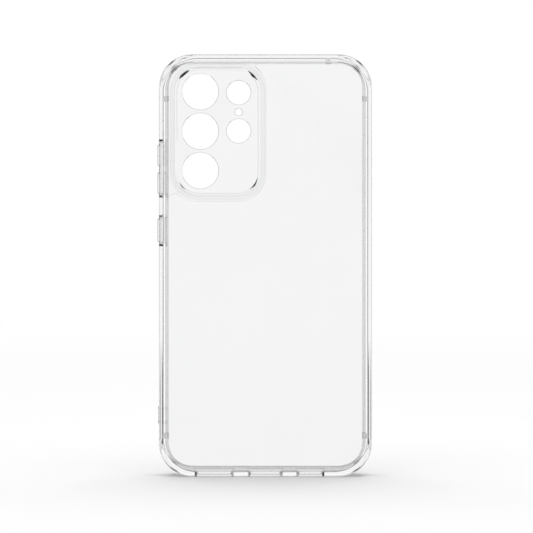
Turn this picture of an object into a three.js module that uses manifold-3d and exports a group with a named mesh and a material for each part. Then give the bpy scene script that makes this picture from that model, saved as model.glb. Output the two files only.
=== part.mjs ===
// Clear protective phone case: a hard clear back plate bonded into a soft clear bumper frame
// that also forms the raised ridge round the camera opening, a lens plate inside that ridge,
// and three push buttons carried in two side windows.
//
// Units are millimetres. +Z is the long axis of the case, +X is to the right when the outside
// of the back is faced, and the outside of the back faces -Y. The origin is the centre of the
// phone seat, the inner face of the back plate. Pieces are drawn in a flat sheet frame
// (x, y = up the case, h = height above the phone seat towards the back) and one group
// stands that sheet frame up. A pair of numbers is a span: [from, to].
import * as THREE from "three";
import { mergeVertices } from "three/addons/utils/BufferGeometryUtils.js";
import Module from "manifold-3d";

// ---- case and bumper ---------------------------------------------------------------------
const CASE_W = 84.4; // outside width
const CASE_H = 167.2; // outside height
const HALF_W = CASE_W / 2;
const HALF_H = CASE_H / 2;
const CORNER_R = 13.1; // outside corner radius, seen from the back
const RIM_BACK = 2.0; // bumper rim above the phone seat
const RIM_FRONT = -9.6; // front face of the bumper
const BACK_ROUND = [3.3, 1.75]; // edge rounding at the back: across the rim, down the side
const FRONT_ROUND = [1.1, 1.1]; // edge rounding at the front
const WALL = 1.85; // bumper wall at the phone cavity
const LIP = 3.1; // front lip, measured in from the outside
const LIP_IN = -8.42; // inner face of the front lip
const SCREEN_CUT_END = -3; // the screen opening's cutter ends here, inside the cavity
const CAVITY_ROUND_BACK = 2.1; // rounding of the cavity beside the back plate
const CAVITY_ROUND_FRONT = 1.7; // rounding of the cavity beside the front lip

const CUT = 30; // cutters run out to this height, clear of the case
const OVERLAP = 0.4; // united solids run this far into each other
const FIT = 0.15; // clearance of each inserted piece

// ---- back plate, its seat and the ribs ---------------------------------------------------
const PLATE_T = 1.6; // back plate thickness
const SEAM_IN = 3.5; // seat in the bumper for the back plate, in from the outside
const SEAM_GAP = 0.12; // clearance round the back plate and the lens plate
const PLATE_IN = SEAM_IN + SEAM_GAP; // back plate outline, in from the outside
const SEAT_CUT_H = -0.3; // the seat cutters start here, just inside the cavity
const RIB_IN = 3.8; // stiffening ribs reach this far in
const RIB_ROOT_IN = 1.5; // and start this far in, within the wall
const RIB_W = 2.1;
const RIB_H = [-2.4, -0.35];
const RIB_SIDE_Y = [66.0, -67.5]; // centres of the ribs on both long sides
const RIB_TOP_X = 24.9; // centre of the rib in the top edge

// ---- camera opening ----------------------------------------------------------------------
const RIDGE = { x: [-38.2, 0.14], y: [25.5, 80.9], radius: 10.8 }; // outside of the ridge
const LENS_OPEN = { x: [-35.0, -2.95], y: [28.7, 77.4], radius: 8.4 }; // inside of the border
const RIDGE_TOP = 2.8; // flat crest of the ridge
const RIDGE_EDGE = 0.2; // easing of the crest's outer edge
const HORN_TOP_X = -4.1; // where the back plate ends above the camera opening
const HORN_SIDE_Y = 28.6; // where the back plate ends beside the camera opening
const HORN_SIDE_LENGTH = 3.4; // length of the curve that rounds the side horn
const FOOT_CUT_MARGIN = 6; // carries the cutter of the ridge foot past the case outline
const LENS_T = 1.0; // lens plate thickness
const LENS_EDGE = 0.15; // easing of the lens plate's edges
const BORDER = 1.1; // width of the lens plate's raised border, inside the ridge
const BORDER_T = 1.42; // height of the border
const BORDER_SLOPE = 0.97; // width of the slope from the border down to the lens plate
const LENS_LAP = 2.6; // lens plate reaches this far beyond its inner opening
const LENS_CUT_LENGTH = 6;
// centre x, centre y, diameter, facets
const LENSES = [
  [-25.8, 68.9, 14.65, 24],
  [-25.8, 53.2, 14.65, 24],
  [-25.8, 37.6, 14.65, 24],
  [-10.6, 68.5, 9.87, 24],
  [-10.6, 53.3, 9.87, 24],
  [-10.6, 60.8, 3.1, 12],
];

// ---- side buttons, on the -X side --------------------------------------------------------
const WINDOW_H = [-6.8, -1.4]; // windows in the side wall
const WINDOW_R = 1.2;
const VOLUME_WINDOW = [27.6, 49.2]; // spans in y
const POWER_WINDOW = [8.3, 19.2];
const SIDE_CUT_X = [-50, -37]; // cutters through the side wall
const CARRIER_X = [-41.9, -41.15]; // carrier, outer and inner faces
const FLANGE = 0.55; // carrier flange, width round the window
const FLANGE_T = 0.35;
const FLANGE_R = 1.6;
const REBATE = 0.8; // rebate for the flange, width round the window
const CAP_H = [-5.75, -2.45];
const CAP_R = 1.2;
const CAP_X = -42.95; // outer face of the caps at rest
const CAP_ROUND = 0.3; // rounding of the cap's end edges
const CAP_ROOT = 0.2; // the cap runs this far past the outer face of its flange
const PLUNGER_X = [-41.05, -40.7]; // captive flange of a button
const PLUNGER_LAP = 0.45; // captive flange beyond the cap
const PLUNGER_R = 1.4;
const VOLUME_UP = [39.2, 47.75]; // spans in y
const VOLUME_DOWN = [28.2, 36.7];
const POWER = [9.0, 18.5];

// ---- openings in the bottom wall ---------------------------------------------------------
// spans in x
const BOTTOM_CUTS = [
  [-28.1, -12.5],
  [-7.0, 6.9],
  [12.2, 23.4],
];
const BOTTOM_CUT_Y = [-100, -HALF_H + 6];
const BOTTOM_CUT_H = [-7.2, -1.2];
const BOTTOM_CUT_R = 1.6;

// ---- strap anchor low on the -X side: a collared recess with a bar across its mouth ------
const ANCHOR_Y = [-62.6, -56.6];
const ANCHOR_H = [-6.0, -2.6];
const ANCHOR_R = 1.2;
const ANCHOR_FLOOR_X = -40.95; // floor of the recess
const ANCHOR_PROUD = 0.35; // collar and bar stand this far out of the side
const ANCHOR_ROOT = 0.5; // the collar runs this far into the wall
const ANCHOR_CUT = 3; // the recess cutter starts this far outside the wall
const ANCHOR_COLLAR = 0.55; // collar width
const ANCHOR_BAR_W = 1.5;
const ANCHOR_BAR_T = 0.9;

// ---- cushion pads inside the four corners ------------------------------------------------
// A pad fills the cavity corner out to an arc of larger radius.
const PAD_RADIUS = 1.7; // added to the radius of the cavity corner
const PAD_H = [-7.0, -2.2];
const PAD_ANGLE = 84; // degrees of the corner arc
const PAD_STEPS = 10; // facets of a pad's inner face

// ---- facets ------------------------------------------------------------------------------
const CORNER_SEGMENTS = 7;
const BAR_SEGMENTS = 4;
const PAD_SEGMENTS = 8;

// ---- spans and solids --------------------------------------------------------------------
const widen = ([from, to], by) => [from - by, to + by];
const middle = ([from, to]) => (from + to) / 2;
const spanAt = (centre, size) => [centre - size / 2, centre + size / 2];

const wasm = await Module();
wasm.setup();

function solid(geometry) {
  geometry.deleteAttribute("normal");
  geometry.deleteAttribute("uv");
  const merged = mergeVertices(geometry, 1e-4);
  return new wasm.Manifold(
    new wasm.Mesh({
      numProp: 3,
      vertProperties: merged.attributes.position.array,
      triVerts: new Uint32Array(merged.index.array),
    }),
  );
}

function geometryOf(manifold) {
  const mesh = manifold.getMesh();
  const indexed = new THREE.BufferGeometry();
  indexed.setAttribute("position", new THREE.BufferAttribute(mesh.vertProperties, 3));
  indexed.setIndex(new THREE.BufferAttribute(mesh.triVerts, 1));
  const flat = indexed.toNonIndexed();
  flat.computeVertexNormals();
  return flat;
}

function roundedRect([left, right], [bottom, top], radius) {
  const shape = new THREE.Shape();
  shape.moveTo(left + radius, bottom);
  shape.lineTo(right - radius, bottom);
  shape.absarc(right - radius, bottom + radius, radius, -Math.PI / 2, 0, false);
  shape.lineTo(right, top - radius);
  shape.absarc(right - radius, top - radius, radius, 0, Math.PI / 2, false);
  shape.lineTo(left + radius, top);
  shape.absarc(left + radius, top - radius, radius, Math.PI / 2, Math.PI, false);
  shape.lineTo(left, bottom + radius);
  shape.absarc(left + radius, bottom + radius, radius, Math.PI, 1.5 * Math.PI, false);
  shape.closePath();
  return shape;
}

// The outline of the case moved in by inset.
const outline = (inset) =>
  roundedRect(
    spanAt(0, CASE_W - 2 * inset),
    spanAt(0, CASE_H - 2 * inset),
    CORNER_R - inset,
  );

const grown = (opening, by) =>
  roundedRect(widen(opening.x, by), widen(opening.y, by), opening.radius + by);

// Extrudes a shape along its third axis over a span. The bevel is across by down; by
// default it stays inside the shape.
function extrude(
  shape,
  [from, to],
  { across = 0, down = 0, offset = -across, segments = 1, curveSegments },
) {
  const geometry = new THREE.ExtrudeGeometry(shape, {
    depth: to - from - 2 * down,
    bevelEnabled: down > 0,
    bevelThickness: down,
    bevelSize: across,
    bevelOffset: offset,
    bevelSegments: segments,
    curveSegments,
    steps: 1,
  });
  geometry.translate(0, 0, from + down);
  return geometry;
}

// A shape extruded between two heights. round is [across, down], for both ends.
function slab(
  shape,
  hSpan,
  { round: [across, down] = [0, 0], segments = 1, curveSegments = CORNER_SEGMENTS } = {},
) {
  return solid(extrude(shape, hSpan, { across, down, segments, curveSegments }));
}

function box(xSpan, ySpan, hSpan) {
  const spans = [xSpan, ySpan, hSpan];
  const geometry = new THREE.BoxGeometry(...spans.map(([from, to]) => to - from));
  geometry.translate(...spans.map(middle));
  return solid(geometry);
}

// A bar along X with a rounded section in (y, h). round eases the edges of both ends.
function barX(xSpan, ySpan, hSpan, radius, round = 0) {
  const geometry = extrude(roundedRect(ySpan, hSpan, radius), xSpan, {
    across: round,
    down: round,
    segments: 2,
    curveSegments: BAR_SEGMENTS,
  });
  geometry.applyMatrix4(
    // (section x, section y, depth) -> (depth, section x, section y)
    new THREE.Matrix4().set(0, 0, 1, 0, 1, 0, 0, 0, 0, 1, 0, 0, 0, 0, 0, 1),
  );
  return solid(geometry);
}

// The same along Y, with its section in (x, h) and plain ends.
function barY(xSpan, ySpan, [low, high], radius) {
  const geometry = extrude(roundedRect(xSpan, [-high, -low], radius), ySpan, {
    curveSegments: BAR_SEGMENTS,
  });
  geometry.rotateX(-Math.PI / 2); // (x, y, z) -> (x, z, -y)
  return solid(geometry);
}

// ---- back plate --------------------------------------------------------------------------
// The case outline moved in, with its upper left corner left out round the camera ridge.
// Both ends of this notch are rounded horns. gap makes the notch smaller, and margin moves
// the rest of the outline out.
function plateShape(gap = 0, margin = 0) {
  const right = HALF_W - PLATE_IN + margin;
  const top = HALF_H - PLATE_IN + margin;
  const radius = CORNER_R - PLATE_IN;

  // notch: its edges and the centres of its corner arcs
  const [notchLeft, notchRight] = widen(RIDGE.x, -gap);
  const [notchBottom, notchTop] = widen(RIDGE.y, -gap);
  const notchR = RIDGE.radius - gap;
  const arcLeft = notchLeft + notchR;
  const arcRight = notchRight - notchR;
  const arcBottom = notchBottom + notchR;
  const arcTop = notchTop - notchR;

  // points where the horns meet the notch
  const topX = HORN_TOP_X - gap;
  const topY = arcTop + Math.sqrt(notchR ** 2 - (topX - arcRight) ** 2);
  const sideY = HORN_SIDE_Y + gap;
  const sideX = arcLeft - Math.sqrt(notchR ** 2 - (sideY - arcBottom) ** 2);
  const topAngle = Math.atan2(topY - arcTop, topX - arcRight);
  const sideAngle = Math.atan2(sideY - arcBottom, sideX - arcLeft);
  const hornR = top - topY - margin;

  const shape = new THREE.Shape();
  shape.moveTo(-right + radius, -top);
  shape.lineTo(right - radius, -top);
  shape.absarc(right - radius, -top + radius, radius, -Math.PI / 2, 0, false);
  shape.lineTo(right, top - radius);
  shape.absarc(right - radius, top - radius, radius, 0, Math.PI / 2, false);
  // top horn
  shape.lineTo(topX + hornR, top);
  shape.lineTo(topX + hornR, top - margin);
  shape.absarc(topX + hornR, topY, hornR, Math.PI / 2, Math.PI, false);
  // notch
  shape.absarc(arcRight, arcTop, notchR, topAngle, 0, true);
  shape.lineTo(notchRight, arcBottom);
  shape.absarc(arcRight, arcBottom, notchR, 0, -Math.PI / 2, true);
  shape.lineTo(arcLeft, notchBottom);
  shape.absarc(arcLeft, arcBottom, notchR, -Math.PI / 2, sideAngle, true);
  // side horn
  const edgeX = -right + margin;
  const hornEndY = sideY - HORN_SIDE_LENGTH;
  shape.quadraticCurveTo(edgeX, sideY, edgeX, hornEndY);
  shape.lineTo(-right, hornEndY);
  shape.lineTo(-right, -top + radius);
  shape.absarc(-right + radius, -top + radius, radius, Math.PI, 1.5 * Math.PI, false);
  shape.closePath();
  return shape;
}

const backPlate = () => slab(plateShape(), [0, PLATE_T]);

// ---- lens plate --------------------------------------------------------------------------
function lensPlate() {
  const borderSlope = solid(
    extrude(grown(LENS_OPEN, 0), [LENS_T, CUT], {
      across: BORDER_SLOPE,
      down: BORDER_T - LENS_T,
      offset: 0,
      curveSegments: CORNER_SEGMENTS,
    }),
  );
  const border = slab(grown(LENS_OPEN, BORDER), [LENS_T - OVERLAP, BORDER_T])
    .subtract(borderSlope)
    .subtract(slab(grown(LENS_OPEN, 0), [-CUT, CUT]));
  let plate = slab(grown(LENS_OPEN, LENS_LAP), [0, LENS_T], {
    round: [LENS_EDGE, LENS_EDGE],
  }).add(border);
  for (const [x, y, diameter, facets] of LENSES) {
    const hole = new THREE.CylinderGeometry(
      diameter / 2,
      diameter / 2,
      LENS_CUT_LENGTH,
      facets,
    );
    hole.rotateX(Math.PI / 2);
    hole.translate(x, y, 0);
    plate = plate.subtract(solid(hole));
  }
  return plate;
}

// ---- bumper frame ------------------------------------------------------------------------
function bumperShell() {
  const outside = slab(outline(0), [-CUT, RIM_BACK], { round: BACK_ROUND, segments: 4 })
    .intersect(slab(outline(0), [RIM_FRONT, CUT], { round: FRONT_ROUND, segments: 2 }));
  const cavity = slab(outline(WALL), [-CUT, 0], {
    round: [CAVITY_ROUND_BACK, CAVITY_ROUND_BACK],
    segments: 3,
  }).intersect(
    slab(outline(WALL), [LIP_IN, CUT], {
      round: [CAVITY_ROUND_FRONT, CAVITY_ROUND_FRONT],
      segments: 3,
    }),
  );
  const screenOpening = slab(outline(LIP), [-CUT, SCREEN_CUT_END]);
  return outside.subtract(cavity).subtract(screenOpening);
}

// quarter counts the corners anticlockwise from the upper right, seen from the back.
function cornerPad(quarter) {
  const diagonal = (quarter + 0.5) * (Math.PI / 2);
  const centreX = Math.sign(Math.cos(diagonal)) * (HALF_W - CORNER_R);
  const centreY = Math.sign(Math.sin(diagonal)) * (HALF_H - CORNER_R);
  const half = THREE.MathUtils.degToRad(PAD_ANGLE / 2);
  const wallR = CORNER_R - WALL + OVERLAP;
  const padR = CORNER_R - WALL + PAD_RADIUS;
  const shift = PAD_RADIUS * Math.SQRT2; // from the corner centre to the larger arc's centre

  const shape = new THREE.Shape();
  shape.absarc(centreX, centreY, wallR, diagonal - half, diagonal + half, false);
  for (let step = 0; step <= PAD_STEPS; step++) {
    const angle = half - (2 * half * step) / PAD_STEPS;
    // distance from the corner centre to the larger arc, along this direction
    const reach =
      Math.sqrt(padR ** 2 - (shift * Math.sin(angle)) ** 2) - shift * Math.cos(angle);
    shape.lineTo(
      centreX + reach * Math.cos(diagonal + angle),
      centreY + reach * Math.sin(diagonal + angle),
    );
  }
  shape.closePath();
  return slab(shape, PAD_H, { curveSegments: PAD_SEGMENTS });
}

function ribs() {
  const right = [HALF_W - RIB_IN, HALF_W - RIB_ROOT_IN];
  const left = [-right[1], -right[0]];
  const top = [HALF_H - RIB_IN, HALF_H - RIB_ROOT_IN];
  return [
    ...RIB_SIDE_Y.flatMap((y) =>
      [left, right].map((xSpan) => box(xSpan, spanAt(y, RIB_W), RIB_H)),
    ),
    box(spanAt(RIB_TOP_X, RIB_W), top, RIB_H),
  ];
}

function cameraRidge() {
  // foot of the ridge, filling the corner the back plate leaves free
  const foot = slab(outline(SEAM_IN - OVERLAP), [0, PLATE_T]).subtract(
    slab(plateShape(SEAM_GAP, FOOT_CUT_MARGIN), [-CUT, CUT]),
  );
  // drawn from below the seat and cut off there, so that only the crest has an eased edge
  const ridge = slab(grown(RIDGE, 0), [-1, RIDGE_TOP], {
    round: [RIDGE_EDGE, RIDGE_EDGE],
  }).subtract(box(widen(RIDGE.x, 1), widen(RIDGE.y, 1), [-3, 0]));
  return foot.add(ridge);
}

// A side window, and the rebate inside it for the carrier flange.
function windowCuts(ySpan) {
  const rebateX = [CARRIER_X[1] - FLANGE_T - FIT / 2, SIDE_CUT_X[1]];
  return [
    barX(SIDE_CUT_X, ySpan, WINDOW_H, WINDOW_R),
    barX(rebateX, widen(ySpan, REBATE), widen(WINDOW_H, REBATE), WINDOW_R + REBATE),
  ];
}

function addStrapAnchor(frame) {
  const outerX = -HALF_W - ANCHOR_PROUD;
  const collar = barX(
    [outerX, -HALF_W + ANCHOR_ROOT],
    widen(ANCHOR_Y, ANCHOR_COLLAR),
    widen(ANCHOR_H, ANCHOR_COLLAR),
    ANCHOR_R + ANCHOR_COLLAR,
  );
  const recess = barX([-HALF_W - ANCHOR_CUT, ANCHOR_FLOOR_X], ANCHOR_Y, ANCHOR_H, ANCHOR_R);
  const bar = box(
    [outerX, outerX + ANCHOR_BAR_T],
    spanAt(middle(ANCHOR_Y), ANCHOR_BAR_W),
    widen(ANCHOR_H, ANCHOR_COLLAR / 2),
  );
  return frame.add(collar).subtract(recess).add(bar);
}

function bumperFrame() {
  let frame = bumperShell();
  for (let quarter = 0; quarter < 4; quarter++) frame = frame.add(cornerPad(quarter));
  // seat for the back plate
  frame = frame.subtract(slab(outline(SEAM_IN), [SEAT_CUT_H, CUT]));
  for (const rib of ribs()) frame = frame.add(rib);
  frame = frame.add(cameraRidge());

  const cuts = [
    // camera opening, and the wider seat the lens plate enters from the phone side
    slab(grown(LENS_OPEN, BORDER + SEAM_GAP), [-5, 5]),
    slab(grown(LENS_OPEN, LENS_LAP + FIT), [SEAT_CUT_H, LENS_T + SEAM_GAP]),
    ...windowCuts(VOLUME_WINDOW),
    ...windowCuts(POWER_WINDOW),
    ...BOTTOM_CUTS.map((xSpan) => barY(xSpan, BOTTOM_CUT_Y, BOTTOM_CUT_H, BOTTOM_CUT_R)),
  ];
  for (const cut of cuts) frame = frame.subtract(cut);
  return addStrapAnchor(frame);
}

// ---- button carriers and buttons ---------------------------------------------------------
function carrier(windowY, caps) {
  const body = barX(CARRIER_X, widen(windowY, -FIT), widen(WINDOW_H, -FIT), WINDOW_R - FIT);
  const flange = barX(
    [CARRIER_X[1] - FLANGE_T, CARRIER_X[1]],
    widen(windowY, FLANGE),
    widen(WINDOW_H, FLANGE),
    FLANGE_R,
  );
  let result = body.add(flange);
  for (const cap of caps)
    result = result.subtract(
      barX(SIDE_CUT_X, widen(cap, FIT), widen(CAP_H, FIT), CAP_R + FIT),
    );
  return result;
}

// A button is drawn about its own centre in y and h, and its mesh is placed by its position.
function button([from, to]) {
  const ySpan = spanAt(0, to - from);
  const hSpan = spanAt(0, CAP_H[1] - CAP_H[0]);
  const cap = barX([CAP_X, PLUNGER_X[0] + CAP_ROOT], ySpan, hSpan, CAP_R, CAP_ROUND);
  const flange = barX(
    PLUNGER_X,
    widen(ySpan, PLUNGER_LAP),
    widen(hSpan, PLUNGER_LAP),
    PLUNGER_R,
  );
  return cap.add(flange);
}

// ---- materials ---------------------------------------------------------------------------
const clear = ({ color, roughness, opacity }) =>
  new THREE.MeshStandardMaterial({
    color,
    roughness,
    metalness: 0,
    transparent: true,
    opacity,
  });
const clearHard = () => clear({ color: 0xf4f5f5, roughness: 0.06, opacity: 0.22 });
const clearSoft = () => clear({ color: 0xeceeee, roughness: 0.14, opacity: 0.3 });

// ---- scene graph -------------------------------------------------------------------------
const phoneCase = new THREE.Group();
phoneCase.name = "phone_case";
const sheet = new THREE.Group();
sheet.rotation.x = Math.PI / 2; // stands the sheet frame up: (x, y, h) -> (x, -h, y)
phoneCase.add(sheet);
const buttons = new THREE.Group();

function piece(parent, name, manifold, material) {
  const mesh = new THREE.Mesh(geometryOf(manifold), material);
  mesh.name = name;
  parent.add(mesh);
  return mesh;
}

piece(sheet, "back_plate", backPlate(), clearHard());
piece(sheet, "bumper_frame", bumperFrame(), clearSoft());
piece(sheet, "lens_plate", lensPlate(), clearHard());
sheet.add(buttons);

const volumeCarrier = carrier(VOLUME_WINDOW, [VOLUME_UP, VOLUME_DOWN]);
piece(buttons, "volume_button_carrier", volumeCarrier, clearHard());
piece(buttons, "power_button_carrier", carrier(POWER_WINDOW, [POWER]), clearHard());
for (const [name, ySpan] of [
  ["volume_up_button", VOLUME_UP],
  ["volume_down_button", VOLUME_DOWN],
  ["power_button", POWER],
])
  piece(buttons, name, button(ySpan), clearHard()).position.set(
    0,
    middle(ySpan),
    middle(CAP_H),
  );

export default phoneCase;
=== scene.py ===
import math

import bmesh
import bpy
import numpy as np
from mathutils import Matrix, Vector


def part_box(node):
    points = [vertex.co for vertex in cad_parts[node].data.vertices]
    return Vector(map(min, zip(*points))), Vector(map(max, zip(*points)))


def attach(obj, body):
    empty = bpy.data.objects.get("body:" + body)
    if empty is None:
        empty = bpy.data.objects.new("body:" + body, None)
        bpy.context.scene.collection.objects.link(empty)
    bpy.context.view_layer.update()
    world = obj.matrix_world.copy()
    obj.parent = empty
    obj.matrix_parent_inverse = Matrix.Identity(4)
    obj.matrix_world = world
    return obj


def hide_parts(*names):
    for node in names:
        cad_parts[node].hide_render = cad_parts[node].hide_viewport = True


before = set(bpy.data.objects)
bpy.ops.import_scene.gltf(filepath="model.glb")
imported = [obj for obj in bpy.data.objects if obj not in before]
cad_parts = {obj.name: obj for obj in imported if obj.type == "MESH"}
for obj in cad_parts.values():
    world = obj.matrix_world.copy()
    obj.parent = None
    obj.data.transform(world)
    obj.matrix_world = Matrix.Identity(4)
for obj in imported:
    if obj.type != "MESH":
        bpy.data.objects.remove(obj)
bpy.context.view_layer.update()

# ------------------------------------------------------------------------------------------
# Sizes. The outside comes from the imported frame; details follow the CAD constants (mm).
# Sheet frame: x to the right, u up the case, h above the phone seat towards the back.
# ------------------------------------------------------------------------------------------
MM = 0.001
_lo, _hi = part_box("bumper_frame")
HALF_W = float(_hi.x) / MM            # 42.2
HALF_H = float(_hi.z) / MM            # 83.6
FRONT = -float(_hi.y) / MM            # -9.6
RIDGE_TOP = -float(_lo.y) / MM        # 2.8
_lo, _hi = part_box("back_plate")
PLATE_T = -float(_lo.y) / MM          # 1.6

CORNER_R = 13.1
RIM = 2.0
WALL = 1.85
SEAM = 3.45
HAIR = 0.045                          # visible hairline between the pieces
RIDGE = dict(x0=-38.2, x1=0.14, y0=25.5, y1=80.9, r=10.8)
LENS_OPEN = dict(x0=-35.0, x1=-2.95, y0=28.7, y1=77.4, r=8.4)
HORN_TOP_X, HORN_SIDE_Y = -4.1, 28.6
LENS_T, LENS_LAP = 1.0, 2.75
BORDER = 1.1                          # raised border of the lens plate, inside the ridge
BORDER_T = 1.50
BEVEL = 0.97
LENSES = [
    (-25.8, 68.9, 14.65), (-25.8, 53.2, 14.65), (-25.8, 37.6, 14.65),
    (-10.6, 68.5, 9.87), (-10.6, 53.3, 9.87), (-10.6, 60.8, 3.1),
]
WINDOW_H = (-6.8, -1.4)
VOLUME_WINDOW, POWER_WINDOW = (27.6, 49.2), (8.3, 19.2)
FIT = 0.15
CARRIER_X = (-41.9, -41.15)
CARRIER_FLANGE, CARRIER_FLANGE_T = 0.6, 0.35
CAP_H = (-5.75, -2.45)
CAP_X = -42.95
PLUNGER_X = (-41.05, -40.7)
PLUNGER_LAP = 0.45
VOLUME_UP, VOLUME_DOWN, POWER = (39.2, 47.75), (28.2, 36.7), (9.0, 18.5)
BOTTOM_CUTS = [(-28.1, -12.5), (-7.0, 6.9), (12.2, 23.4)]
BOTTOM_CUT_H = (-7.2, -1.2)
ANCHOR_U, ANCHOR_H = (-62.6, -56.6), (-6.0, -2.6)
ANCHOR_FLOOR_X, ANCHOR_PROUD, ANCHOR_COLLAR = -40.95, 0.35, 0.55
PAD_RADIUS, PAD_H = 1.7, (-7.0, -2.2)
RIB_IN, RIB_W, RIB_H = 3.8, 2.1, (-2.4, -0.35)
RIB_SIDE_U, RIB_TOP_X = (66.0, -67.5), 24.9
N_CORNER = 30                         # facets in each outline corner


# ------------------------------------------------------------------------------------------
# Mesh helpers
# ------------------------------------------------------------------------------------------
def sheet(x, u, h):
    return (x * MM, -h * MM, u * MM)


def new_object(name, verts, faces):
    me = bpy.data.meshes.new(name)
    me.from_pydata([tuple(v) for v in verts], [], faces)
    me.update()
    bm = bmesh.new()
    bm.from_mesh(me)
    bmesh.ops.recalc_face_normals(bm, faces=bm.faces)
    bm.to_mesh(me)
    bm.free()
    ob = bpy.data.objects.new(name, me)
    bpy.context.scene.collection.objects.link(ob)
    return ob


def rounded_rect(x0, x1, y0, y1, r, n=N_CORNER):
    """Points round a rectangle with rounded corners, counterclockwise."""
    pts = []
    for cx, cy, a0 in (
        (x1 - r, y1 - r, 0.0),
        (x0 + r, y1 - r, 90.0),
        (x0 + r, y0 + r, 180.0),
        (x1 - r, y0 + r, 270.0),
    ):
        for k in range(n + 1):
            t = math.radians(a0 + 90.0 * k / n)
            pts.append((cx + r * math.cos(t), cy + r * math.sin(t)))
    return np.array(pts)


def outline(s, n=N_CORNER, extra=0.0):
    return rounded_rect(-HALF_W + s, HALF_W - s, -HALF_H + s, HALF_H - s, CORNER_R - s + extra, n)


def grown(b, d, n=N_CORNER):
    return rounded_rect(b["x0"] - d, b["x1"] + d, b["y0"] - d, b["y1"] + d, b["r"] + d, n)


def ring(name, loops):
    """A closed body swept round a closed path: loops is a closed list of (N, 3) loops."""
    m, k = len(loops), len(loops[0])
    verts = [sheet(*p) for loop in loops for p in loop]
    faces = []
    for j in range(m):
        j2 = (j + 1) % m
        for i in range(k):
            i2 = (i + 1) % k
            faces.append((j * k + i, j2 * k + i, j2 * k + i2, j * k + i2))
    return new_object(name, verts, faces)


def stack(name, loops, raw=False):
    """A closed body lofted through loops, with flat ends."""
    m, k = len(loops), len(loops[0])
    verts = [tuple(p) if raw else sheet(*p) for loop in loops for p in loop]
    faces = []
    for j in range(m - 1):
        for i in range(k):
            i2 = (i + 1) % k
            faces.append((j * k + i, (j + 1) * k + i, (j + 1) * k + i2, j * k + i2))
    faces.append(tuple(range(k)))
    faces.append(tuple((m - 1) * k + i for i in reversed(range(k))))
    return new_object(name, verts, faces)


def moved_in(poly, d):
    """A counterclockwise polygon moved in by d, corner by corner."""
    p = np.asarray(poly, float)
    a = p - np.roll(p, 1, 0)
    b = np.roll(p, -1, 0) - p
    na = np.stack([-a[:, 1], a[:, 0]], 1) / np.maximum(np.hypot(a[:, 0], a[:, 1]), 1e-9)[:, None]
    nb = np.stack([-b[:, 1], b[:, 0]], 1) / np.maximum(np.hypot(b[:, 0], b[:, 1]), 1e-9)[:, None]
    s = na + nb
    q = s / np.maximum(1.0 + (na * nb).sum(1), 0.35)[:, None]
    return p + q * d


def slab(name, poly, h0, h1, r0=0.0, r1=0.0, n=5):
    """A flat body between two heights with rounded edges r0 (low) and r1 (high)."""
    levels = []
    if r0 > 0:
        for a in np.linspace(0, 90, n):
            v = math.radians(a)
            levels.append((r0 - r0 * math.sin(v), h0 + r0 - r0 * math.cos(v)))
    else:
        levels.append((0.0, h0))
    if r1 > 0:
        for a in np.linspace(90, 0, n):
            v = math.radians(a)
            levels.append((r1 - r1 * math.sin(v), h1 - r1 + r1 * math.cos(v)))
    else:
        levels.append((0.0, h1))
    loops = []
    for d, h in levels:
        q = moved_in(poly, d) if d > 1e-6 else np.asarray(poly, float)
        loops.append([(x, u, h) for x, u in q])
    return stack(name, loops)


def bar_x(name, x0, x1, u0, u1, h0, h1, r, round0=0.0, round1=0.0, n=6, corner=12):
    """A rounded bar along X. Its end at x0 and its end at x1 can be rounded."""
    poly = rounded_rect(u0, u1, h0, h1, r, corner)
    levels = []
    if round0 > 0:
        for a in np.linspace(0, 90, n):
            v = math.radians(a)
            levels.append((round0 - round0 * math.sin(v), x0 + round0 - round0 * math.cos(v)))
    else:
        levels.append((0.0, x0))
    if round1 > 0:
        for a in np.linspace(90, 0, n):
            v = math.radians(a)
            levels.append((round1 - round1 * math.sin(v), x1 - round1 + round1 * math.cos(v)))
    else:
        levels.append((0.0, x1))
    loops = []
    for d, x in levels:
        q = moved_in(poly, d) if d > 1e-6 else poly
        loops.append([(x, u, h) for u, h in q])
    return stack(name, loops)


def flared_x(name, x0, x1, u0, u1, h0, h1, r, mouth, flare, corner=12):
    """A cutter along X from x0 (outside) to x1 whose mouth widens by flare at x = mouth."""
    poly = rounded_rect(u0, u1, h0, h1, r, corner)
    loops = [[(x0, u, h) for u, h in moved_in(poly, -flare * 2.2)]]
    for a in np.linspace(0, 90, 6):
        v = math.radians(a)
        d = -(flare - flare * math.sin(v))
        x = mouth + flare - flare * math.cos(v)
        loops.append([(x, u, h) for u, h in moved_in(poly, d)])
    loops.append([(x1, u, h) for u, h in poly])
    return stack(name, loops)


def flared_down(name, u0, u1, x0, x1, h0, h1, r, mouth, flare, corner=12):
    """A cutter through the bottom wall from u0 (outside) up to u1 with a rounded mouth."""
    poly = rounded_rect(x0, x1, h0, h1, r, corner)
    loops = [[(x, u0, h) for x, h in moved_in(poly, -flare * 2.2)]]
    for a in np.linspace(0, 90, 6):
        v = math.radians(a)
        d = -(flare - flare * math.sin(v))
        u = mouth + flare - flare * math.cos(v)
        loops.append([(x, u, h) for x, h in moved_in(poly, d)])
    loops.append([(x, u1, h) for x, h in poly])
    return stack(name, loops)


def boolean(ob, other, operation):
    mod = ob.modifiers.new("cut", "BOOLEAN")
    mod.operation = operation
    mod.solver = "MANIFOLD"
    mod.object = other
    dg = bpy.context.evaluated_depsgraph_get()
    me = bpy.data.meshes.new_from_object(ob.evaluated_get(dg), depsgraph=dg)
    ob.modifiers.clear()
    old = ob.data
    ob.data = me
    bpy.data.meshes.remove(old)
    bpy.data.objects.remove(other)
    return ob


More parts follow.
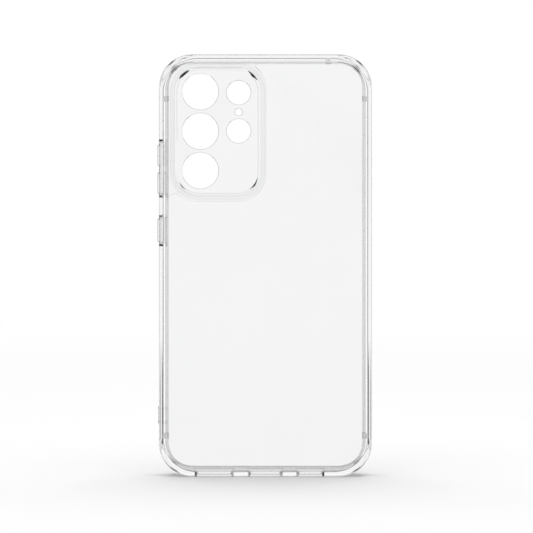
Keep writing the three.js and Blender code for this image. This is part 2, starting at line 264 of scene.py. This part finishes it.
def tidy(ob, angle=32.0):
    """Removes slivers left by cuts, then shades smooth with normals weighted to the large faces."""
    bm = bmesh.new()
    bm.from_mesh(ob.data)
    bmesh.ops.remove_doubles(bm, verts=bm.verts, dist=2e-6)
    bmesh.ops.dissolve_degenerate(bm, edges=bm.edges, dist=1e-6)
    bmesh.ops.recalc_face_normals(bm, faces=bm.faces)
    bm.to_mesh(ob.data)
    bm.free()
    for p in ob.data.polygons:
        p.use_smooth = True
    ob.data.set_sharp_from_angle(angle=math.radians(angle))
    mod = ob.modifiers.new("weighted", "WEIGHTED_NORMAL")
    mod.keep_sharp = True
    mod.weight = 60
    dg = bpy.context.evaluated_depsgraph_get()
    me = bpy.data.meshes.new_from_object(ob.evaluated_get(dg), depsgraph=dg)
    ob.modifiers.clear()
    ob.data = me
    me.name = ob.name
    return ob


def quarter(cx, cy, rx, ry, a0, a1, n):
    """Points of an elliptical arc, angles in degrees."""
    return [
        (cx + rx * math.cos(math.radians(a)), cy + ry * math.sin(math.radians(a)))
        for a in np.linspace(a0, a1, n)
    ]


# ------------------------------------------------------------------------------------------
# Bumper frame
# ------------------------------------------------------------------------------------------
def bumper_section():
    """The section of the bumper as (inset from the outside, height), a closed loop."""
    top_w, top_d = 3.29, 1.74
    front_r = 1.1
    lip, lip_t = 3.1, 1.18
    fr, br = 1.71, 2.13
    e = 0.11
    hl = FRONT + lip_t
    p = []
    p += quarter(SEAM - e, RIM - e, e, e, 0, 90, 4)
    p += quarter(top_w, RIM - top_d, top_w, top_d, 90, 180, 30)
    p += quarter(front_r, FRONT + front_r, front_r, front_r, 180, 270, 14)
    e2 = 0.35
    p += quarter(lip - e2, FRONT + e2, e2, e2, 270, 360, 7)
    e3 = 0.14
    p += quarter(lip - e3, hl + 0.06 - e3, e3, e3, 0, 80, 5)
    p += [(x, y) for x, y in quarter(WALL + fr, hl + fr, fr, fr, 270, 180, 24) if x < lip - 0.14]
    p += quarter(WALL + br, -br - 0.05, br, br, 180, 90, 20)
    p += [(WALL + br, -0.02), (SEAM, -0.02)]
    # the lip's inner fillet starts inside the lip: drop points that fold back over it
    out = []
    for q in p:
        if out and math.hypot(q[0] - out[-1][0], q[1] - out[-1][1]) < 1e-4:
            continue
        out.append(q)
    return out


def plate_polygon(gap=0.0, inset=SEAM + HAIR, n=N_CORNER):
    """The back plate in plan, with the notch and the two rounded horns at the camera corner."""
    a, b = HALF_W - inset, HALF_H - inset
    r = CORNER_R - inset
    rx0, rx1 = RIDGE["x0"] - gap, RIDGE["x1"] + gap
    ry0, ry1 = RIDGE["y0"] - gap, RIDGE["y1"] + gap
    rr = RIDGE["r"] + gap
    hx, hy = HORN_TOP_X + gap, HORN_SIDE_Y - gap
    top = ry1 - rr + math.sqrt(rr * rr - (hx - (rx1 - rr)) ** 2)
    side = rx0 + rr - math.sqrt(rr * rr - (hy - (ry0 + rr)) ** 2)

    def arc(cx, cy, rad, a0, a1, k):
        return [
            (cx + rad * math.cos(math.radians(t)), cy + rad * math.sin(math.radians(t)))
            for t in np.linspace(a0, a1, k)
        ]

    p = []
    p += arc(a - r, -b + r, r, -90, 0, n + 1)
    p += arc(a - r, b - r, r, 0, 90, n + 1)
    hr = b - top
    p += arc(hx + hr, top, hr, 90, 178, 9)
    t0 = math.degrees(math.atan2(top - (ry1 - rr), hx - (rx1 - rr)))
    p += arc(rx1 - rr, ry1 - rr, rr, t0 - 1.0, 0, 18)
    p += arc(rx1 - rr, ry0 + rr, rr, 0, -90, n + 1)
    t1 = math.degrees(math.atan2(hy - (ry0 + rr), side - (rx0 + rr)))
    if t1 > 0:
        t1 -= 360
    p += arc(rx0 + rr, ry0 + rr, rr, -90, t1 + 1.0, 16)
    # the lower horn: from the ridge round to the left seam
    x0, y0 = p[-1]
    for t in np.linspace(0.06, 1, 12):
        q0, q1, q2 = (x0, y0), (-a, hy), (-a, hy - 3.4)
        p.append((
            (1 - t) ** 2 * q0[0] + 2 * t * (1 - t) * q1[0] + t * t * q2[0],
            (1 - t) ** 2 * q0[1] + 2 * t * (1 - t) * q1[1] + t * t * q2[1],
        ))
    p += arc(-a + r, -b + r, r, 180, 270, n + 1)
    return np.array(p)


def ridge_body():
    """The flat-topped camera ridge as a ring between its outside and its opening."""
    lap = LENS_LAP + 0.05
    edge = 0.06
    prof = [("o", 0.0, 0.0)]
    for a in np.linspace(0, 90, 5):
        v = math.radians(a)
        prof.append(("o", edge - edge * math.cos(v), RIDGE_TOP - edge + edge * math.sin(v)))
    for a in np.linspace(0, 90, 5):
        v = math.radians(a)
        prof.append(("i", BORDER + edge - edge * math.sin(v), RIDGE_TOP - edge + edge * math.cos(v)))
    low = LENS_T + 0.06
    prof += [("i", BORDER, low), ("i", lap, low), ("i", lap, 0.0)]
    loops = []
    for kind, d, h in prof:
        q = moved_in(grown(RIDGE, 0.0), d) if kind == "o" else grown(LENS_OPEN, d)
        loops.append([(x, y, h) for x, y in q])
    return ring("ridge", loops)


def ridge_foot():
    """The corner the back plate leaves free, filled to the height of the plate."""
    # seam outline (slightly under the rim) cut by the plate's own notch
    body = slab("foot", outline(SEAM - 0.35), 0.0, PLATE_T)
    body = boolean(body, slab("footcut", notch_keeper(), -1.0, 3.0), "INTERSECT")
    return boolean(body, slab("lensroom", grown(LENS_OPEN, LENS_LAP + 0.3), -1.0, 3.0), "DIFFERENCE")


def notch_keeper():
    """Plan polygon of everything on the camera side of the plate's notch."""
    g = HAIR
    full = plate_polygon(gap=-g, inset=SEAM + HAIR)
    # the notch boundary runs from the top horn to the lower horn
    n = N_CORNER
    start = 2 * (n + 1)
    stop = len(full) - (n + 1)
    notch = full[start:stop]
    first, last = notch[0], notch[-1]
    poly = [tuple(q) for q in notch[::-1]]
    # close round the outside of the camera corner
    poly += [(first[0], first[1] + 6.0), (-60.0, first[1] + 6.0), (-60.0, last[1])]
    return np.array(poly)


def build_bumper():
    # the cavity corner is drawn with a larger radius over the height of the cushion pads
    loops = []
    for s, h in bumper_section():
        low = min(1.0, max(0.0, (h - (PAD_H[0] - 1.0)) / 1.0))
        high = min(1.0, max(0.0, (PAD_H[1] + 2.1 - h) / 2.1))
        t = min(low, high)
        extra = PAD_RADIUS * t * t * (3 - 2 * t) if WALL - 0.01 < s and h < 0 else 0.0
        loops.append([(x, u, h) for x, u in outline(s, extra=extra)])
    f = ring("bumper_shell", loops)
    # camera ridge and its foot
    f = boolean(f, ridge_foot(), "UNION")
    f = boolean(f, ridge_body(), "UNION")
    # stiffening ribs
    for u in RIB_SIDE_U:
        for side in (-1, 1):
            xa, xb = sorted((side * (HALF_W - 1.5), side * (HALF_W - RIB_IN)))
            f = boolean(f, slab("rib", rounded_rect(xa, xb, u - RIB_W / 2, u + RIB_W / 2, 0.15, 4), RIB_H[0], RIB_H[1] + 0.15), "UNION")
    f = boolean(f, slab("rib", rounded_rect(RIB_TOP_X - RIB_W / 2, RIB_TOP_X + RIB_W / 2, HALF_H - RIB_IN, HALF_H - 1.5, 0.15, 4), RIB_H[0], RIB_H[1] + 0.15), "UNION")
    # collar of the strap anchor
    c = ANCHOR_COLLAR
    f = boolean(f, bar_x("collar", -HALF_W - ANCHOR_PROUD, -HALF_W + 0.5, ANCHOR_U[0] - c, ANCHOR_U[1] + c, ANCHOR_H[0] - c, ANCHOR_H[1] + c, 1.2 + c, 0.25), "UNION")
    # side windows, and the rebate for each carrier's flange
    for u0, u1 in (VOLUME_WINDOW, POWER_WINDOW):
        f = boolean(f, flared_x("win", -50, -37, u0, u1, WINDOW_H[0], WINDOW_H[1], 1.2, -HALF_W - 0.02, 0.22), "DIFFERENCE")
        e = CARRIER_FLANGE + 2 * FIT - 0.1
        f = boolean(f, bar_x("reb", CARRIER_X[1] - CARRIER_FLANGE_T - FIT / 2, -40.3, u0 - e, u1 + e, WINDOW_H[0] - e, WINDOW_H[1] + e, 1.2 + e), "DIFFERENCE")
    # openings in the bottom wall
    for x0, x1 in BOTTOM_CUTS:
        f = boolean(f, flared_down("port", -HALF_H - 8, -HALF_H + 6, x0, x1, BOTTOM_CUT_H[0], BOTTOM_CUT_H[1], 1.6, -HALF_H - 0.02, 0.25), "DIFFERENCE")
    # strap anchor recess and bar
    f = boolean(f, bar_x("rec", -HALF_W - 3, ANCHOR_FLOOR_X, ANCHOR_U[0], ANCHOR_U[1], ANCHOR_H[0], ANCHOR_H[1], 1.2, 0.0, 0.3), "DIFFERENCE")
    um = sum(ANCHOR_U) / 2
    rod = []
    for h in np.linspace(ANCHOR_H[0] - c / 2, ANCHOR_H[1] + c / 2, 2):
        rod.append([(x, u, h) for x, u in rounded_rect(-HALF_W - ANCHOR_PROUD + 0.03, -HALF_W - ANCHOR_PROUD + 0.93, um - 0.75, um + 0.75, 0.4, 8)])
    f = boolean(f, stack("rod", rod), "UNION")
    f.name = "bumper_frame_shell"
    return tidy(f)


# ------------------------------------------------------------------------------------------
# Plates, carriers and buttons
# ------------------------------------------------------------------------------------------
def build_back_plate():
    p = slab("back_plate_shell", plate_polygon(), 0.0, PLATE_T, 0.16, 0.16, 5)
    return tidy(p)


def build_lens_plate():
    p = slab("lens_plate_shell", grown(LENS_OPEN, LENS_LAP), 0.0, LENS_T, 0.12, 0.12, 4)
    # raised border: its inner side falls to the plate as a bevel
    loops = []
    for d, h in ((BORDER - 0.05, LENS_T - 0.3), (BORDER - 0.05, BORDER_T - 0.03), (BORDER - 0.08, BORDER_T),
                 (BEVEL, BORDER_T), (0.525, LENS_T + 0.272), (0.08, LENS_T + 0.12), (0.0, LENS_T), (0.0, LENS_T - 0.3)):
        loops.append([(x, y, h) for x, y in grown(LENS_OPEN, d)])
    p = boolean(p, ring("border", loops), "UNION")
    for x, u, d in LENSES:
        r = d / 2
        levels = [(r + 0.01, LENS_T + 0.6), (r + 0.01, LENS_T), (r - 0.12, LENS_T - 0.20), (r - 0.14, LENS_T - 0.24)]
        levels += [(r - 0.14, 0.06), (r - 0.10, 0.0), (r - 0.10, -0.6)]
        n = 96 if d > 5 else 48
        loops = []
        for rad, h in levels:
            loops.append([(x + rad * math.cos(2 * math.pi * i / n), u + rad * math.sin(2 * math.pi * i / n), h) for i in range(n)])
        p = boolean(p, stack("hole", loops), "DIFFERENCE")
    p.name = "lens_plate_shell"
    return tidy(p, 15.0)


def build_carrier(name, window, caps):
    u0, u1 = window
    body = bar_x(name, CARRIER_X[0], CARRIER_X[1], u0 + FIT, u1 - FIT, WINDOW_H[0] + FIT, WINDOW_H[1] - FIT, 1.05, 0.18)
    g = CARRIER_FLANGE - 0.05
    flange = bar_x("fl", CARRIER_X[1] - CARRIER_FLANGE_T, CARRIER_X[1] - 0.0005, u0 - g, u1 + g, WINDOW_H[0] - g, WINDOW_H[1] + g, 1.6, 0.05, 0.05)
    body = boolean(body, flange, "UNION")
    for c0, c1 in caps:
        body = boolean(body, flared_x("hole", -50, -37, c0 - FIT, c1 + FIT, CAP_H[0] - FIT, CAP_H[1] + FIT, 1.35, CARRIER_X[0] - 0.01, 0.1), "DIFFERENCE")
    body.name = name
    return tidy(body)


def build_button(name, span):
    """A cap with a softly crowned outer face, its shank, and the captive flange inside."""
    u0, u1 = span
    half, w = (u1 - u0) / 2, (CAP_H[1] - CAP_H[0]) / 2
    um, hm = (u0 + u1) / 2, (CAP_H[0] + CAP_H[1]) / 2
    base = rounded_rect(-half, half, -w, w, 1.2, 12)
    loops = []
    # crown, then rounded edge, then shank
    levels = [(0.92, 0.0), (0.60, 0.03), (0.42, 0.065)]
    for a in np.linspace(25, 90, 8):
        v = math.radians(a)
        levels.append((0.34 - 0.34 * math.sin(v), 0.08 + 0.34 - 0.34 * math.cos(v)))
    levels.append((0.0, (PLUNGER_X[0] + 0.02) - CAP_X))
    for d, x in levels:
        loops.append([(CAP_X + x, um + a, hm + b) for a, b in moved_in(base, d)])
    body = stack(name, loops)
    lap = PLUNGER_LAP
    body = boolean(body, bar_x("fl", PLUNGER_X[0], PLUNGER_X[1], u0 - lap, u1 + lap, CAP_H[0] - lap, CAP_H[1] + lap, 1.4, 0.06, 0.1), "UNION")
    body.name = name
    return tidy(body)


# ------------------------------------------------------------------------------------------
# Materials: every one is a node tree, no images
# ------------------------------------------------------------------------------------------
def node(nt, kind, **kw):
    n = nt.nodes.new(kind)
    for k, v in kw.items():
        setattr(n, k, v)
    return n


def math_node(nt, op, a, b=None, c=None):
    n = nt.nodes.new("ShaderNodeMath")
    n.operation = op
    for i, v in enumerate((a, b, c)):
        if v is None:
            continue
        if isinstance(v, (int, float)):
            n.inputs[i].default_value = v
        else:
            nt.links.new(v, n.inputs[i])
    return n.outputs[0]


def clear_plastic(name, tint_a, tint_b, rough, rough_var, ior, ripple, ripple_scale, grain=0.0, grain_scale=9000.0):
    """A clear moulded plastic: a faint cloudy tint, uneven polish, and the slow ripple of a moulded face."""
    m = bpy.data.materials.new(name)
    m.use_nodes = True
    nt = m.node_tree
    b = nt.nodes["Principled BSDF"]
    b.inputs["Transmission Weight"].default_value = 1.0
    b.inputs["IOR"].default_value = ior
    b.inputs["Metallic"].default_value = 0.0
    tc = node(nt, "ShaderNodeTexCoord")
    cloud = node(nt, "ShaderNodeTexNoise")
    cloud.inputs["Scale"].default_value = 38.0
    cloud.inputs["Detail"].default_value = 3.0
    cloud.inputs["Roughness"].default_value = 0.55
    nt.links.new(tc.outputs["Object"], cloud.inputs["Vector"])
    ramp = node(nt, "ShaderNodeValToRGB")
    ramp.color_ramp.elements[0].position = 0.32
    ramp.color_ramp.elements[0].color = (*tint_a, 1)
    ramp.color_ramp.elements[1].position = 0.70
    ramp.color_ramp.elements[1].color = (*tint_b, 1)
    nt.links.new(cloud.outputs["Fac"], ramp.inputs["Fac"])
    nt.links.new(ramp.outputs["Color"], b.inputs["Base Color"])
    polish = node(nt, "ShaderNodeTexNoise")
    polish.inputs["Scale"].default_value = 160.0
    polish.inputs["Detail"].default_value = 4.0
    nt.links.new(tc.outputs["Object"], polish.inputs["Vector"])
    r = math_node(nt, "MULTIPLY_ADD", polish.outputs["Fac"], rough_var, rough)
    nt.links.new(r, b.inputs["Roughness"])
    wave = node(nt, "ShaderNodeTexNoise")
    wave.inputs["Scale"].default_value = ripple_scale
    wave.inputs["Detail"].default_value = 1.0
    nt.links.new(tc.outputs["Object"], wave.inputs["Vector"])
    height = wave.outputs["Fac"]
    if grain > 0:
        fine = node(nt, "ShaderNodeTexNoise")
        fine.inputs["Scale"].default_value = grain_scale
        fine.inputs["Detail"].default_value = 2.0
        nt.links.new(tc.outputs["Object"], fine.inputs["Vector"])
        height = math_node(nt, "MULTIPLY_ADD", fine.outputs["Fac"], grain, height)
    bump = node(nt, "ShaderNodeBump")
    bump.inputs["Strength"].default_value = ripple
    bump.inputs["Distance"].default_value = 0.0002
    nt.links.new(height, bump.inputs["Height"])
    nt.links.new(bump.outputs["Normal"], b.inputs["Normal"])
    return m


MAT_HARD = clear_plastic("clear_hard_plastic", (0.972, 0.975, 0.975), (0.985, 0.987, 0.987), 0.0, 0.012, 1.50, 0.02, 60.0)
MAT_SOFT = clear_plastic("clear_soft_plastic", (0.965, 0.968, 0.968), (0.985, 0.986, 0.986), 0.0, 0.005, 1.50, 0.01, 90.0)
MAT_FROST = clear_plastic("frosted_soft_plastic", (0.80, 0.80, 0.80), (0.86, 0.86, 0.86), 0.42, 0.1, 1.46, 0.2, 900.0, 0.5)
MAT_BUTTON = clear_plastic("clear_button_plastic", (0.955, 0.958, 0.958), (0.98, 0.98, 0.98), 0.0, 0.02, 1.50, 0.03, 120.0)


# ------------------------------------------------------------------------------------------
# Pieces on their bodies
# ------------------------------------------------------------------------------------------
def place(ob, body, cad, slot, *mats):
    ob.data.materials.clear()
    for poly in ob.data.polygons:
        poly.material_index = 0
    for m in mats:
        ob.data.materials.append(m)
    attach(ob, body)
    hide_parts(cad)
    return ob


bumper = build_bumper()
place(bumper, "case", "bumper_frame", "soft_clear", MAT_SOFT, MAT_FROST)
for poly in bumper.data.polygons:
    c = poly.center / MM
    x, h, u = c.x, -c.y, c.z
    inside = False
    for ru in RIB_SIDE_U:
        if abs(u - ru) < RIB_W / 2 + 0.02 and HALF_W - RIB_IN - 0.05 < abs(x) < HALF_W - WALL + 0.02:
            inside = True
    if abs(x - RIB_TOP_X) < RIB_W / 2 + 0.02 and HALF_H - RIB_IN - 0.05 < u < HALF_H - WALL + 0.02:
        inside = True
    if inside and RIB_H[0] - 0.02 < h < -0.1:
        poly.material_index = 1

back_plate = build_back_plate()
place(back_plate, "case", "back_plate", "hard_clear", MAT_HARD)
lens_plate = build_lens_plate()
place(lens_plate, "case", "lens_plate", "hard_clear", MAT_HARD)
vol_carrier = build_carrier("volume_carrier_shell", VOLUME_WINDOW, [VOLUME_UP, VOLUME_DOWN])
place(vol_carrier, "case", "volume_button_carrier", "button_clear", MAT_BUTTON)
pow_carrier = build_carrier("power_carrier_shell", POWER_WINDOW, [POWER])
place(pow_carrier, "case", "power_button_carrier", "button_clear", MAT_BUTTON)
for nm, body, span in (
    ("volume_up", "volume_up", VOLUME_UP),
    ("volume_down", "volume_down", VOLUME_DOWN),
    ("power", "power", POWER),
):
    place(build_button(nm + "_cap", span), body, nm + "_button", "button_clear", MAT_BUTTON)


# ------------------------------------------------------------------------------------------
# Studio: a pale floor that fades into a white surround, lit like a bright field that keeps
# its place round the camera: white behind the object, dim gaps to the sides of it, bright
# panels left, right, above and below, and dimmer diagonals.
# ------------------------------------------------------------------------------------------
FLOOR_Z = -HALF_H * MM - 0.00005


# Brightness of the surround by angle from straight behind the object, in degrees: to the sides
# (left and right alike), above, below, and a factor for the diagonals between the panels.
SIDES = [(0, 0.99), (5, 0.99), (8, 0.90), (12, 0.99), (15, 0.94), (18.5, 0.58), (23, 0.71), (29, 0.64), (36, 0.15), (44, 0.90),
         (52, 0.97), (60, 0.77), (70, 0.80), (80, 1.15), (90, 1.38), (102, 1.05), (118, 0.60), (133, 0.48), (150, 0.18)]
ABOVE = [(0, 0.99), (5, 0.99), (8, 0.99), (12, 0.97), (15, 0.95), (18.5, 0.86), (23, 1.12), (29, 0.69), (36, 0.50), (44, 0.82),
         (52, 0.95), (60, 1.03), (70, 1.06), (80, 1.10), (90, 1.12), (102, 0.90), (118, 0.66), (133, 0.28), (150, 0.02)]
BELOW = [(0, 0.99), (5, 0.99), (8, 0.97), (12, 0.94), (15, 0.92), (18.5, 0.68), (23, 0.53), (29, 0.70), (36, 0.44), (44, 0.56),
         (52, 0.28), (60, 0.09), (70, 0.20), (80, 0.44), (90, 0.78), (102, 1.08), (118, 1.10), (133, 0.52), (150, 0.18)]
# Half width of the dark gaps on the diagonals, in degrees, by the same angle (below 0: no gap)
GAPS_ABOVE = [(0, -3), (8.5, -3), (13, 17), (17.5, -1), (21, -1), (27, 4), (48, 4), (51, -3), (180, -3)]
GAPS_BELOW = [(0, -3), (8, -3), (11, 18), (14.2, -3), (180, -3)]
GAP_LEVEL, GAP_EDGE = 0.03, 3.0
# Further out the diagonals are dimmer than the panels: this factor, over a wider span
DIAGONALS = [(0, 1.0), (54, 1.0), (62, 0.45), (90, 0.35), (120, 0.15), (150, 0.06), (180, 0.06)]
DIAGONAL_HALF = (5.0, 16.0)


def level_ramp(nt, fac, stops, low=0.0, top=1.5):
    """A ramp over 180 degrees. Its values are stored in 0..1 and scaled back."""
    ramp = node(nt, "ShaderNodeValToRGB")
    cr = ramp.color_ramp
    cr.interpolation = "LINEAR"
    grey = [((v - low) / (top - low),) * 3 + (1,) for a, v in stops]
    cr.elements[0].position = stops[0][0] / 180
    cr.elements[0].color = grey[0]
    cr.elements[1].position = stops[-1][0] / 180
    cr.elements[1].color = grey[-1]
    for (a, v), c in list(zip(stops, grey))[1:-1]:
        e = cr.elements.new(a / 180)
        e.color = c
    nt.links.new(fac, ramp.inputs["Fac"])
    return math_node(nt, "MULTIPLY_ADD", ramp.outputs["Color"], top - low, low)


def smooth(nt, value, a, b):
    n = node(nt, "ShaderNodeMapRange", interpolation_type="SMOOTHSTEP")
    nt.links.new(value, n.inputs["Value"])
    n.inputs["From Min"].default_value = a
    n.inputs["From Max"].default_value = b
    return n.outputs["Result"]


def blend(nt, a, b, t):
    """a + (b - a) t"""
    return math_node(nt, "MULTIPLY_ADD", math_node(nt, "SUBTRACT", b, a), t, a)


def build_world():
    w = bpy.data.worlds.new("studio")
    bpy.context.scene.world = w
    w.use_nodes = True
    nt = w.node_tree
    nt.nodes.clear()
    out = node(nt, "ShaderNodeOutputWorld")
    bg = node(nt, "ShaderNodeBackground")
    nt.links.new(bg.outputs[0], out.inputs[0])
    tc = node(nt, "ShaderNodeTexCoord")
    vt = node(nt, "ShaderNodeVectorMath", operation="NORMALIZE")
    nt.links.new(tc.outputs["Camera"], vt.inputs[0])
    sep = node(nt, "ShaderNodeSeparateXYZ")
    nt.links.new(vt.outputs["Vector"], sep.inputs[0])
    ang = math_node(nt, "DIVIDE", math_node(nt, "ARCCOSINE", sep.outputs["Z"]), math.pi)
    ax = math_node(nt, "ABSOLUTE", sep.outputs["X"])
    ay = math_node(nt, "ABSOLUTE", sep.outputs["Y"])
    turn = math_node(nt, "MULTIPLY", math_node(nt, "ARCTAN2", ay, ax), 180 / math.pi)
    side, above, below = (level_ramp(nt, ang, q) for q in (SIDES, ABOVE, BELOW))
    vertical = blend(nt, below, above, math_node(nt, "GREATER_THAN", sep.outputs["Y"], 0.0))
    level = blend(nt, side, vertical, smooth(nt, turn, 41.0, 49.0))
    off = math_node(nt, "ABSOLUTE", math_node(nt, "SUBTRACT", turn, 45.0))
    upper = math_node(nt, "GREATER_THAN", sep.outputs["Y"], 0.0)
    reach = blend(nt, level_ramp(nt, ang, GAPS_BELOW, -4.0, 20.0), level_ramp(nt, ang, GAPS_ABOVE, -4.0, 20.0), upper)
    clear = smooth(nt, math_node(nt, "SUBTRACT", off, reach), 0.0, GAP_EDGE)
    level = math_node(nt, "MULTIPLY", level, math_node(nt, "MULTIPLY_ADD", clear, 1.0 - GAP_LEVEL, GAP_LEVEL))
    far = level_ramp(nt, ang, DIAGONALS)
    level = math_node(nt, "MULTIPLY", level, blend(nt, far, math_node(nt, "ADD", 1.0, 0.0), smooth(nt, off, *DIAGONAL_HALF)))
    lp = node(nt, "ShaderNodeLightPath")
    level = blend(nt, level, math_node(nt, "ADD", 1.0, 0.0), lp.outputs["Is Camera Ray"])
    nt.links.new(level, bg.inputs["Color"])
    bg.inputs["Strength"].default_value = 1.0


def build_floor():
    n, r = 96, 3.0
    verts = [(0, 0, FLOOR_Z)]
    faces = []
    radii = [0.1, 0.3, 0.8, 1.6, r]
    for j, rad in enumerate(radii):
        for i in range(n):
            a = 2 * math.pi * i / n
            verts.append((rad * math.cos(a), rad * math.sin(a), FLOOR_Z))
    for i in range(n):
        faces.append((0, 1 + i, 1 + (i + 1) % n))
    for j in range(len(radii) - 1):
        for i in range(n):
            i2 = (i + 1) % n
            faces.append((1 + j * n + i, 1 + (j + 1) * n + i, 1 + (j + 1) * n + i2, 1 + j * n + i2))
    me = bpy.data.meshes.new("studio_floor")
    me.from_pydata(verts, [], faces)
    me.update()
    ob = bpy.data.objects.new("studio_floor", me)
    bpy.context.scene.collection.objects.link(ob)
    m = bpy.data.materials.new("studio_floor")
    m.use_nodes = True
    nt = m.node_tree
    out = nt.nodes["Material Output"]
    b = nt.nodes["Principled BSDF"]
    b.inputs["Roughness"].default_value = 0.9
    b.inputs["Specular IOR Level"].default_value = 0.0
    tc = node(nt, "ShaderNodeTexCoord")
    grain = node(nt, "ShaderNodeTexNoise")
    grain.inputs["Scale"].default_value = 30.0
    nt.links.new(tc.outputs["Object"], grain.inputs["Vector"])
    v = math_node(nt, "MULTIPLY_ADD", grain.outputs["Fac"], 0.01, FLOOR_ALBEDO)
    comb = node(nt, "ShaderNodeCombineColor")
    for i in range(3):
        nt.links.new(v, comb.inputs[i])
    nt.links.new(comb.outputs[0], b.inputs["Base Color"])
    em = node(nt, "ShaderNodeEmission")
    em.inputs["Color"].default_value = (1, 1, 1, 1)
    em.inputs["Strength"].default_value = 1.0
    length = node(nt, "ShaderNodeVectorMath", operation="LENGTH")
    nt.links.new(tc.outputs["Object"], length.inputs[0])
    fade = node(nt, "ShaderNodeMapRange", interpolation_type="SMOOTHSTEP")
    nt.links.new(length.outputs["Value"], fade.inputs["Value"])
    fade.inputs["From Min"].default_value = FLOOR_FADE[0]
    fade.inputs["From Max"].default_value = FLOOR_FADE[1]
    fade.inputs["To Min"].default_value = FLOOR_GLOW
    fade.inputs["To Max"].default_value = 1.0
    mix = node(nt, "ShaderNodeMixShader")
    nt.links.new(fade.outputs["Result"], mix.inputs["Fac"])
    nt.links.new(b.outputs[0], mix.inputs[1])
    nt.links.new(em.outputs[0], mix.inputs[2])
    nt.links.new(mix.outputs[0], out.inputs["Surface"])
    me.materials.append(m)
    ob.visible_transmission = False     # seen through the plastic, the surround carries on below the horizon
    ob.visible_glossy = False
    return ob


FLOOR_GLOW = 0.12
FLOOR_ALBEDO = 0.90
FLOOR_FADE = (0.15, 0.75)
TOP_ENERGY = 8.5
build_world()
build_floor()

key = bpy.data.lights.new("overhead_panel", "AREA")
key.shape = "RECTANGLE"
key.size, key.size_y = 1.4, 1.4
key.energy = TOP_ENERGY
key_ob = bpy.data.objects.new("overhead_panel", key)
bpy.context.scene.collection.objects.link(key_ob)
key_ob.location = (0.0, 0.0, 1.1)
key_ob.visible_camera = False
key_ob.visible_glossy = False
key_ob.visible_transmission = False

# ------------------------------------------------------------------------------------------
# Camera: square on to the back, level with the top edge, through a long lens shifted down
# ------------------------------------------------------------------------------------------
PX = 0.3963 * MM
DIST = 1.25
CAM_Z = 79.0 * MM
cam = bpy.data.cameras.new("camera")
cam_ob = bpy.data.objects.new("camera", cam)
bpy.context.scene.collection.objects.link(cam_ob)
cam_ob.location = (0.0, -DIST, CAM_Z)
cam_ob.rotation_euler = (math.radians(90), 0, 0)
cam.sensor_width = 36.0
cam.lens = 36.0 * DIST / (533 * PX)
cam.shift_x = 1.05 / 533
SHIFT_Y = (-1.1 * PX - CAM_Z) / (533 * PX)
cam.shift_y = SHIFT_Y
# The vertical lens shift belongs to this standpoint only: a camera moved elsewhere looks straight
# at the object, so the shift follows the distance from the standpoint and soon falls to zero.
standpoint = bpy.data.objects.new("standpoint", None)
standpoint.empty_display_size = 0.02
standpoint.location = cam_ob.location
bpy.context.scene.collection.objects.link(standpoint)
curve = cam.driver_add("shift_y")
curve.driver.type = "SUM"
away = curve.driver.variables.new()
away.type = "LOC_DIFF"
away.targets[0].id = cam_ob
away.targets[1].id = standpoint
for modifier in list(curve.modifiers):
    curve.modifiers.remove(modifier)
for at, value in ((0.0, SHIFT_Y), (0.02, SHIFT_Y), (0.06, 0.0), (1.0, 0.0)):
    curve.keyframe_points.insert(at, value).interpolation = "LINEAR"
curve.extrapolation = "CONSTANT"
cam.clip_start = 0.01
bpy.context.scene.camera = cam_ob
bpy.context.scene.view_settings.view_transform = "Standard"
